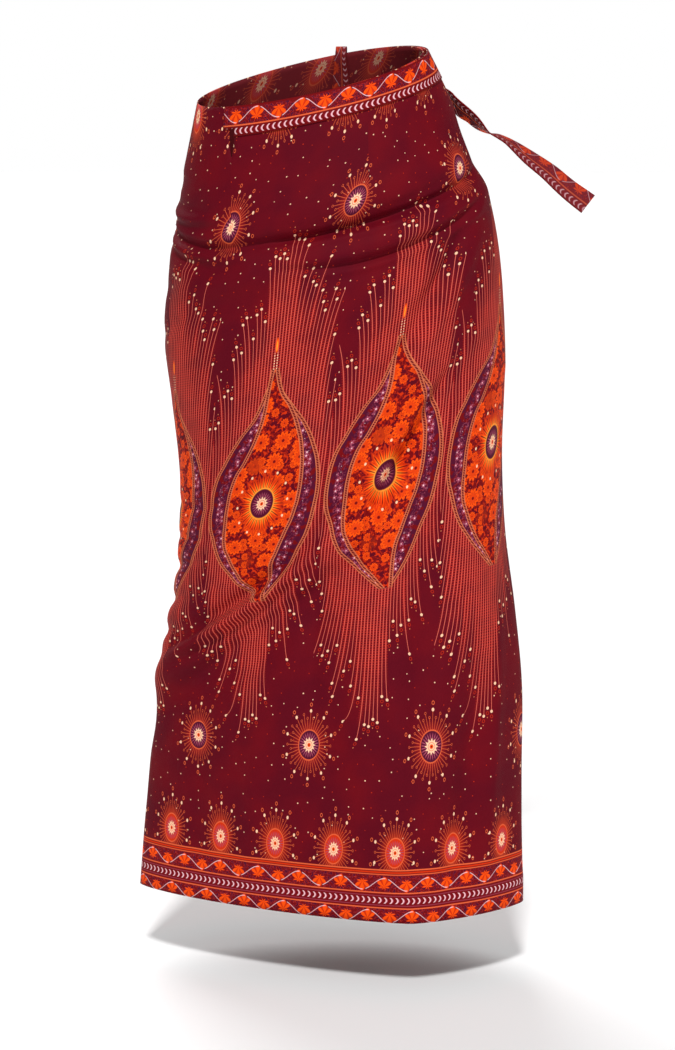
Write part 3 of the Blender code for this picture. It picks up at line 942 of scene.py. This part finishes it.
def rope(paint, away, along, shown):
    """A fine cord of dark beads between two thin lines, lying from 0 to its width of away."""
    aside = away - ROPE / 2
    paint.over(under(size_of(aside), ROPE / 2) * shown, CORD)
    paint.over(line(size_of(aside), ROPE / 2 - 0.25, 0.2) * shown, TAN)
    bead = distance(aside, repeat(along, 2.7) - 1.35)
    paint.over(under(bead, 1.0, 0.3) * shown, BEAD)


def almonds(paint, x, height):
    """The almond shapes with their borders, fillings and eyes."""
    outlines = [curve(height, [(row[0], row[n]) for row in reversed(ALMOND)]) for n in (1, 2, 3, 4)]
    outer = smaller(x - outlines[0], outlines[1] - x)
    inner = smaller(x - outlines[2], outlines[3] - x)
    tall = under(size_of(height), 144, 1)
    along = height + x * 0.5
    scroll(paint, x, height, under(0.0 - outer, 0.0) * tall, outer + inner - ROPE)
    rope(paint, outer * 0.86, along, tall)
    blossoms(paint, x, height, under(0.0 - inner, 0.0) * tall)
    rope(paint, inner * 0.86 + ROPE, along, tall)
    paint.over(under(distance(x / 2.0, (height - 171) / 8), 1.0, 0.2), ORANGE)
    paint.over(under(distance(x / 0.9, (height - 170) / 6), 1.0, 0.2), AMBER)
    stalk = line(height, 152, 10) * line(size_of(x), 1.7, 0.6)
    paint.over(stalk * ramp(maths("SINE", height * 2.1), 0.0, 0.4), CREAM)
    eye(paint, x, height + 12)


def eye(paint, x, y):
    """The sun in the middle of the almond, with a fringe of amber points."""
    wide, tall = 14.5, 17.8
    far = distance(x / wide, y / tall)
    angle = maths("ARCTAN2", x / wide, y / tall)
    turn = angle * (26 / (2 * math.pi))
    point = maths("PINGPONG", turn, 0.5)
    uneven = chance(maths("ROUND", turn), 3.0) * 0.45
    paint.over(under(far + point * 1.2 + uneven, 2.5, 0.1) * 0.8, DEEP_ORANGE)
    paint.over(under(far + point * 1.5 + uneven, 2.2, 0.12), ORANGE)
    paint.over(under(far + point * 1.6 + uneven * 0.5, 1.75, 0.14), AMBER)
    paint.over(under(point, 0.1, 0.03) * under(far, 1.9, 0.1), DARK_RED)
    dot = maths("PINGPONG", angle * (12 / (2 * math.pi)), 0.5) * far * (2 * math.pi * 16 / 12)
    paint.over(under(distance(dot, (far - 2.2) * 16), 1.5), CREAM)
    paint.over(under(far, 1.1, 0.03), AMBER)
    paint.over(under(far, 1.0, 0.03), PLUM)
    flower(paint, x, y, wide * 0.52, tall * 0.48)


def scatter(paint, x, y, cover):
    """Small dots over the plain ground."""
    far, _, own = cells(x, y, 16.5, 0.85)
    small = under(far, 0.4 + own * 0.4)
    paint.over(small * under(own, 0.5, 0.01) * cover, DEEP_ORANGE)
    paint.over(small * under(0.5 - own, 0.0, 0.01) * cover, CREAM)


# The length of one wave of the leaf scroll.
WAVE = 53.5


def leaf_wave(paint, x, y, tall, inside):
    """A scroll of leaves: white arcs that run over one orange leaf and under the next.
    y is the height in a strip that is tall high."""
    paint.over(inside, PLUM)
    half = tall / 2
    mottled = cloudy(x, y, 3.4, 1.0)
    paint.over(inside * ramp(mottled, 0.5, 0.56), DARK_RED)
    paint.over(inside * line(mottled, 0.46, 0.02, 0.02), DEEP_ORANGE)
    shift = repeat(x + WAVE / 4, WAVE / 2) - WAVE / 4
    lower = maths("SIGN", repeat(x + WAVE / 4, WAVE) - WAVE / 2)
    up_leaf = (y - half) * lower
    leaf_x, leaf_y = shift / (WAVE * 0.15), (up_leaf - half * 0.14) / (half * 0.7)
    angle = maths("ARCTAN2", leaf_x, leaf_y + 0.6)
    lobe = maths("COSINE", angle * 7)
    body = distance(leaf_x, leaf_y) - lobe * 0.2
    paint.over(inside * under(body, 0.92, 0.06), DEEP_ORANGE)
    paint.over(inside * under(body, 0.84, 0.06) * ramp(lobe, -0.7, 0.0), ORANGE)
    crest = maths("SINE", (x + WAVE / 4) * (2 * math.pi / WAVE)) * half * -0.72
    white = size_of(y - half - crest) * 0.75
    broken = ramp(size_of(repeat(x + WAVE * 0.2, WAVE / 2) - WAVE / 4), 1.2, 2.2)
    paint.over(inside * under(white, 0.34) * broken, PINK_WHITE)


# The distance from one crescent to the next.
CRESCENT = 6.8


def crescents(paint, x, y, inside):
    """A row of small pink-white crescents. y is the height from the row's middle."""
    paint.over(inside, DARK_RED)
    bow = repeat(x, CRESCENT) - CRESCENT / 2
    curved = bow + y * y * 0.2
    paint.over(inside * under(size_of(curved), 1.0) * under(size_of(y), 3.5), PINK_WHITE)
    paint.over(inside * under(size_of(curved - 1.1), 0.4) * under(size_of(y), 2.4), LILAC)


def stripe(paint, y, centre, half, colour, share=1.0):
    """A straight line along the border."""
    paint.over(line(y, centre, half) * share, colour)


def hem_border(paint, x, y):
    """The border round the hem, from the edge up: leaves, crescents, leaves and a double line."""
    leaf_wave(paint, x + 18, y + 3, 20.0, under(y, 17.0))
    crescents(paint, x, y - 26.5, line(y, 26.5, 9.5))
    leaf_wave(paint, x, y - 36, 20.0, line(y, 46.5, 10.5))
    paint.over(line(y, 60.5, 3.6), DARK_RED)
    stripe(paint, y, 63.2, 0.8, FILAMENT)
    stripe(paint, y, 60.4, 1.0, DEEP_ORANGE)
    stripe(paint, y, 57.8, 0.6, FILAMENT)
    stripe(paint, y, 35.8, 0.75, FILAMENT)
    stripe(paint, y, 32.2, 0.5, LILAC, 0.5)
    stripe(paint, y, 20.6, 0.5, LILAC, 0.5)
    stripe(paint, y, 17.3, 0.75, FILAMENT)


# How far the rows of large and small rosettes are from the almonds' middle.
BIG_SUN = 323.0
SMALL_SUN = 447.0


def panel_print(tree, x, height):
    """The whole print of the wide cloth."""
    paint = Paint(tree, WINE)
    paint.over(ramp(cloudy(x, height, 60), 0.35, 0.75), WINE_WARM)
    level = height - MIDDLE
    side = maths("SIGN", level)
    tall = size_of(level)
    from_axis = repeat(x + REPEAT / 2, REPEAT) - REPEAT / 2
    scatter(paint, x, height, feathers(paint, from_axis, level))
    almonds(paint, from_axis, level)
    between = repeat(x, REPEAT) - REPEAT / 2
    sun(paint, between, tall - BIG_SUN, (11.8, 17.0), 40, 2.45, PLUM, PLUME_RED)
    small = repeat(x, REPEAT / 2) - REPEAT / 4
    toward = tall - SMALL_SUN - side * 4
    sun(paint, small, 0 - toward, (10.5, 16.5), 40, 2.5, DEEP_ORANGE, DEEP_ORANGE)
    hem_border(paint, x, height)
    return paint.colour


def border_print(tree, x, y):
    """The print of the waist strip and the ties: leaves above a row of crescents."""
    paint = Paint(tree, DARK_RED)
    leaf_wave(paint, x, y - 12, 22.0, under(0.0 - y, -12.5))
    stripe(paint, y, 12.0, 0.8, FILAMENT)
    crescents(paint, 0 - x, y - 5.6, under(y, 10.8))
    stripe(paint, y, 33.0, 1.2, DARK_RED)
    return paint.colour


# The distance from one thread to the next, in millimetres.
THREAD = 0.45


def weave_height(x, y):
    """The height of the plain weave's threads."""
    warp = maths("SINE", x * (math.pi / THREAD))
    weft = maths("SINE", y * (math.pi / THREAD))
    return warp * weft


SHEEN = linear(255, 150, 140)


def cloth_material(name, draw):
    """Printed plain-weave cloth."""
    made = bpy.data.materials.new(name)
    made.use_nodes = True
    tree = made.node_tree
    shader = tree.nodes["Principled BSDF"]
    place = tree.nodes.new("ShaderNodeUVMap")
    place.uv_map = "cloth"
    split = tree.nodes.new("ShaderNodeSeparateXYZ")
    tree.links.new(place.outputs[0], split.inputs[0])
    x, y = Term(split.outputs[0]), Term(split.outputs[1])
    tree.links.new(draw(tree, x, y), shader.inputs["Base Color"])
    shader.inputs["Roughness"].default_value = 0.6
    shader.inputs["Sheen Weight"].default_value = 0.02
    shader.inputs["Sheen Roughness"].default_value = 0.35
    shader.inputs["Sheen Tint"].default_value = SHEEN
    shader.inputs["Specular IOR Level"].default_value = 0.05
    bump = tree.nodes.new("ShaderNodeBump")
    bump.inputs["Strength"].default_value = 0.25
    bump.inputs["Distance"].default_value = 0.0003
    tree.links.new(weave_height(x, y).socket, bump.inputs["Height"])
    tree.links.new(bump.outputs[0], shader.inputs["Normal"])
    return made


WRONG_SIDE = linear(112, 40, 44)
WRONG_SIDE_SHARE = 0.55


def wrong_side(finish):
    """The same cloth from behind, where the print shows through paler and duller."""
    made = finish.copy()
    made.name = finish.name + "_wrong_side"
    tree = made.node_tree
    colour = tree.nodes["Principled BSDF"].inputs["Base Color"]
    fade = Paint(tree, colour.links[0].from_socket)
    fade.over(WRONG_SIDE_SHARE, WRONG_SIDE)
    tree.links.new(fade.colour, colour)
    return made


def plain(name, colour):
    """A smooth material of one colour, for the floor."""
    made = bpy.data.materials.new(name)
    made.use_nodes = True
    shader = made.node_tree.nodes["Principled BSDF"]
    shader.inputs["Base Color"].default_value = (*colour, 1)
    shader.inputs["Roughness"].default_value = 0.6
    return made


FLOOR_Z = -1.07
FLOOR_REACH = 40.0
FLOOR_WHITE = (0.92, 0.92, 0.92)
# The white surround's strength as the camera sees it, and as a light.
WORLD_SEEN = 1.0
WORLD_LIGHT = 0.26
# Each lamp is a soft far one: the way its light goes, its strength and its spread in degrees.
LIGHTS = (
    ("key", (0.04, 0.62, -0.78), 2.45, 7),
    ("fill", (-0.80, 0.60, -0.35), 0.45, 40),
    ("back", (0.25, -0.80, -0.60), 1.5, 30),
)


def looking(direction):
    """The rotation that turns a lamp from straight down to a direction."""
    flat = math.hypot(direction[0], direction[1])
    return (math.atan2(flat, -direction[2]), 0.0, math.atan2(-direction[0], direction[1]))


def floor_and_light():
    """A pale floor that runs out of sight, and soft studio light."""
    bpy.context.scene.view_settings.view_transform = "Standard"
    mesh = bpy.data.meshes.new("floor")
    corners = [(x * FLOOR_REACH, y * FLOOR_REACH, 0) for x, y in ((-1, -1), (1, -1), (1, 1), (-1, 1))]
    mesh.from_pydata(corners, [], [(0, 1, 2, 3)])
    floor = bpy.data.objects.new("floor", mesh)
    bpy.context.scene.collection.objects.link(floor)
    floor.location.z = FLOOR_Z
    floor.data.materials.append(plain("floor_white", FLOOR_WHITE))
    world = bpy.data.worlds.new("studio")
    bpy.context.scene.world = world
    world.use_nodes = True
    background = world.node_tree.nodes["Background"]
    background.inputs["Color"].default_value = (1.0, 1.0, 1.0, 1)
    seen = world.node_tree.nodes.new("ShaderNodeLightPath").outputs["Is Camera Ray"]
    strength = ramp(Term(seen), -WORLD_LIGHT / (WORLD_SEEN - WORLD_LIGHT), 1.0) * WORLD_SEEN
    world.node_tree.links.new(strength.socket, background.inputs["Strength"])
    for name, toward, strength, spread in LIGHTS:
        data = bpy.data.lights.new(name, "SUN")
        data.energy = strength
        data.angle = math.radians(spread)
        lamp = bpy.data.objects.new(name, data)
        lamp.rotation_euler = looking(toward)
        bpy.context.scene.collection.objects.link(lamp)


# The camera stands 3.6 m in front, level with the waist, and looks a little down.
CAMERA_X = 0.0243
CAMERA_AWAY = 3.6
CAMERA_Z = -0.028
CAMERA_DOWN = 8.06
PICTURE_HEIGHT = 1050
FOCAL_PIXELS = 3000
SENSOR = 36.0


def camera():
    """The camera at the photograph's angle, whose picture is upright."""
    data = bpy.data.cameras.new("camera")
    data.sensor_width = SENSOR
    data.lens = SENSOR * FOCAL_PIXELS / PICTURE_HEIGHT
    data.clip_end = 200
    made = bpy.data.objects.new("camera", data)
    made.location = (CAMERA_X, -CAMERA_AWAY, CAMERA_Z)
    made.rotation_euler = (math.radians(90 - CAMERA_DOWN), 0.0, 0.0)
    bpy.context.scene.collection.objects.link(made)
    bpy.context.scene.camera = made


def main():
    """Makes the pieces, gives each its cloth and its place in the frame, and lights them."""
    panel = wrap_panel()
    band = waistband()
    outer, outer_length = tie_outer()
    inner, inner_length = tie_inner()
    cloth, border = cloth_material("print", panel_print), cloth_material("border", border_print)
    behind = {finish.name: wrong_side(finish) for finish in (cloth, border)}
    for obj, finish, slot, node in (
        (panel, cloth, "printed_rayon", "wrap_panel"),
        (band, border, "border_cloth", "waistband"),
        (outer, border, "border_cloth", "tie_outer"),
        (inner, border, "border_cloth", "tie_inner"),
    ):
        obj.data.materials.append(finish)
        obj.data.materials.append(behind[finish.name])
        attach(obj, "root")
        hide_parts(node)
    widths = [outer_edge(down) - inner_edge(down) for down in (0.0, CLOTH_LENGTH)]
    sum(widths) / 2 * CLOTH_LENGTH
    band_length = outer_edge(0.0) - SLIT_ACROSS + BAND_END_PAST_SLIT
    floor_and_light()
    camera()


main()
